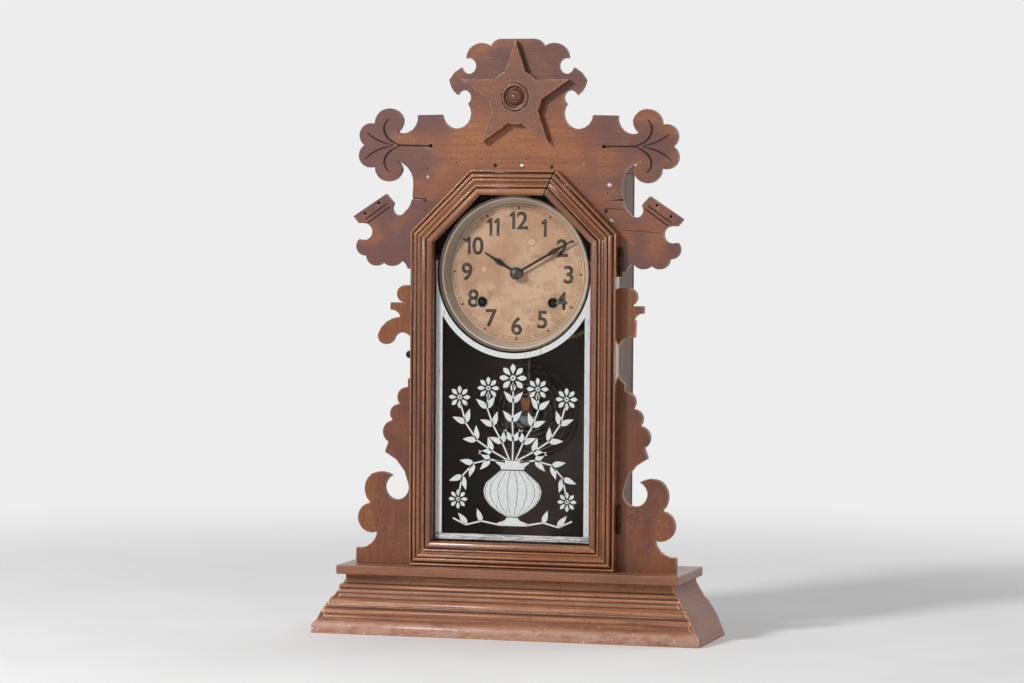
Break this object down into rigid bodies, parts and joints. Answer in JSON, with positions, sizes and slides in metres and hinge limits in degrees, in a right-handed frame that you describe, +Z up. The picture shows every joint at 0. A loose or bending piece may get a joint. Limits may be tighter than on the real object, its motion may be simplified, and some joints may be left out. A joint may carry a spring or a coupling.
{
  "type": "shelf clock",
  "caption": "Pendulum shelf clock with a sawn fretwork crown and sides, an applied star, a glazed door with a slanted top, round dial, wire gong and stepped base.",
  "frame": {"origin": "middle of the base's footprint, on the surface that the clock stands on", "axes": "+Z up, the door faces -Y, +X to the right as seen from the front"},
  "size_m": [0.376, 0.108, 0.56],
  "materials": {
    "walnut": "dark reddish-brown walnut, old shellac, satin",
    "moulding_walnut": "lighter orange-brown walnut, shellac, worn at the edges",
    "softwood": "aged brown softwood, unpolished",
    "glass": "clear old window glass",
    "putty": "dull grey-brown putty",
    "paper": "yellowed paper dial, matt",
    "dial_zinc": "painted zinc, aged",
    "black_iron": "blackened iron, satin",
    "brass": "old brass",
    "steel": "plain steel, slightly dull",
    "cast_iron": "grey cast iron",
    "leather": "brown leather"
  },
  "bodies": {
    "case": {"base_front_moulding": "moulding_walnut", "base_side_left": "walnut", "base_side_right": "walnut", "base_back_rail": "softwood", "base_top_board": "walnut", "case_side_left": "softwood", "case_side_right": "softwood", "case_roof": "softwood", "back_board": "softwood", "crown_fret": "walnut", "side_fret_left": "walnut", "side_fret_right": "walnut", "crown_star": "moulding_walnut", "star_rosette": "moulding_walnut", "hinge_lower_case_leaf": "brass", "hinge_upper_case_leaf": "brass", "hinge_lower_pin": "brass", "hinge_upper_pin": "brass", "dial_pan": "dial_zinc", "dial_paper": "paper", "dial_block_left": "softwood", "dial_block_right": "softwood", "front_plate": "brass", "back_plate": "brass", "time_mainspring": "steel", "strike_mainspring": "steel", "gong_coil": "steel", "gong_stand": "cast_iron"},
    "door": {"door_stile_left": "moulding_walnut", "door_corner_left": "moulding_walnut", "door_rail_top": "moulding_walnut", "door_corner_right": "moulding_walnut", "door_stile_right": "moulding_walnut", "door_rail_bottom": "moulding_walnut", "door_glass": "glass", "glass_putty": "putty", "hinge_lower_door_leaf": "brass", "hinge_upper_door_leaf": "brass", "door_strike": "black_iron"},
    "catch": {"catch_knob": "black_iron", "catch_hook": "black_iron"},
    "minute_hand_and_center": {"minute_hand": "black_iron", "hand_nut": "steel", "center_arbor": "brass"},
    "minute_wheel": {"minute_wheel": "brass"},
    "hour_hand_and_wheel": {"hour_hand": "black_iron", "hour_wheel": "brass"},
    "time_great_wheel": {"time_great_wheel": "brass"},
    "third_wheel": {"third_wheel": "brass"},
    "escape_wheel": {"escape_wheel": "brass"},
    "time_winding_arbor": {"time_winding_arbor": "steel"},
    "strike_winding_arbor": {"strike_winding_arbor": "steel"},
    "strike_great_wheel": {"strike_great_wheel": "brass"},
    "strike_second_wheel": {"strike_second_wheel": "brass"},
    "fly": {"fly": "brass"},
    "verge": {"verge_and_crutch": "steel"},
    "pendulum": {"pendulum_rod": "steel", "pendulum_bob": "brass"},
    "hammer": {"strike_hammer": "steel", "hammer_head": "leather"}
  },
  "joints": [
    {"name": "door_swing", "type": "hinge", "parent": "case", "child": "door", "pos_m": [0.1015, -0.016, 0.25], "axis": [0, 0, 1], "range_deg": [0, 95]},
    {"name": "catch_turn", "type": "hinge", "parent": "case", "child": "catch", "pos_m": [-0.095, 0.001, 0.262], "axis": [1, 0, 0], "range_deg": [0, 90]},
    {"name": "minute_hand_turn", "type": "hinge", "parent": "case", "child": "minute_hand_and_center", "pos_m": [0, 0, 0.3407], "axis": [0, 1, 0], "continuous": true},
    {"name": "minute_wheel_turn", "type": "hinge", "parent": "case", "child": "minute_wheel", "pos_m": [0.01691, 0.002, 0.34686], "axis": [0, 1, 0], "continuous": true},
    {"name": "hour_hand_turn", "type": "hinge", "parent": "case", "child": "hour_hand_and_wheel", "pos_m": [0, -0.002, 0.3407], "axis": [0, 1, 0], "continuous": true},
    {"name": "time_great_turn", "type": "hinge", "parent": "case", "child": "time_great_wheel", "pos_m": [0.0344, 0.031, 0.3133], "axis": [0, 1, 0], "continuous": true},
    {"name": "third_wheel_turn", "type": "hinge", "parent": "case", "child": "third_wheel", "pos_m": [0.014, 0.02, 0.35819], "axis": [0, 1, 0], "continuous": true},
    {"name": "escape_wheel_turn", "type": "hinge", "parent": "case", "child": "escape_wheel", "pos_m": [0, 0.02, 0.37133], "axis": [0, 1, 0], "continuous": true},
    {"name": "time_winding", "type": "hinge", "parent": "case", "child": "time_winding_arbor", "pos_m": [0.0344, 0.02, 0.3133], "axis": [0, 1, 0], "continuous": true},
    {"name": "strike_winding", "type": "hinge", "parent": "case", "child": "strike_winding_arbor", "pos_m": [-0.0344, 0.02, 0.3133], "axis": [0, 1, 0], "continuous": true},
    {"name": "strike_great_turn", "type": "hinge", "parent": "case", "child": "strike_great_wheel", "pos_m": [-0.0344, 0.027, 0.3133], "axis": [0, 1, 0], "continuous": true},
    {"name": "strike_second_turn", "type": "hinge", "parent": "case", "child": "strike_second_wheel", "pos_m": [-0.02526, 0.02, 0.35632], "axis": [0, 1, 0], "continuous": true},
    {"name": "fly_turn", "type": "hinge", "parent": "case", "child": "fly", "pos_m": [-0.03292, 0.02, 0.37737], "axis": [0, 1, 0], "continuous": true},
    {"name": "pendulum_swing", "type": "hinge", "parent": "case", "child": "pendulum", "pos_m": [0, 0.043, 0.38882], "axis": [0, 1, 0], "range_deg": [-4, 4]},
    {"name": "verge_rock", "type": "hinge", "parent": "case", "child": "verge", "pos_m": [0, 0.02, 0.38882], "axis": [0, 1, 0], "range_deg": [-4, 4]},
    {"name": "hammer_swing", "type": "hinge", "parent": "case", "child": "hammer", "pos_m": [0, 0.02, 0.2935], "axis": [0, 1, 0], "range_deg": [-2.5, 6]}
  ],
  "couplings": [
    {"joint": "minute_wheel_turn", "follows": "minute_hand_turn", "ratio": -0.33333},
    {"joint": "hour_hand_turn", "follows": "minute_hand_turn", "ratio": 0.083333},
    {"joint": "time_great_turn", "follows": "minute_hand_turn", "ratio": -0.2},
    {"joint": "third_wheel_turn", "follows": "minute_hand_turn", "ratio": -6},
    {"joint": "escape_wheel_turn", "follows": "minute_hand_turn", "ratio": 30},
    {"joint": "strike_second_turn", "follows": "strike_great_turn", "ratio": -5},
    {"joint": "fly_turn", "follows": "strike_great_turn", "ratio": 30},
    {"joint": "verge_rock", "follows": "pendulum_swing", "ratio": 1}
  ]
}
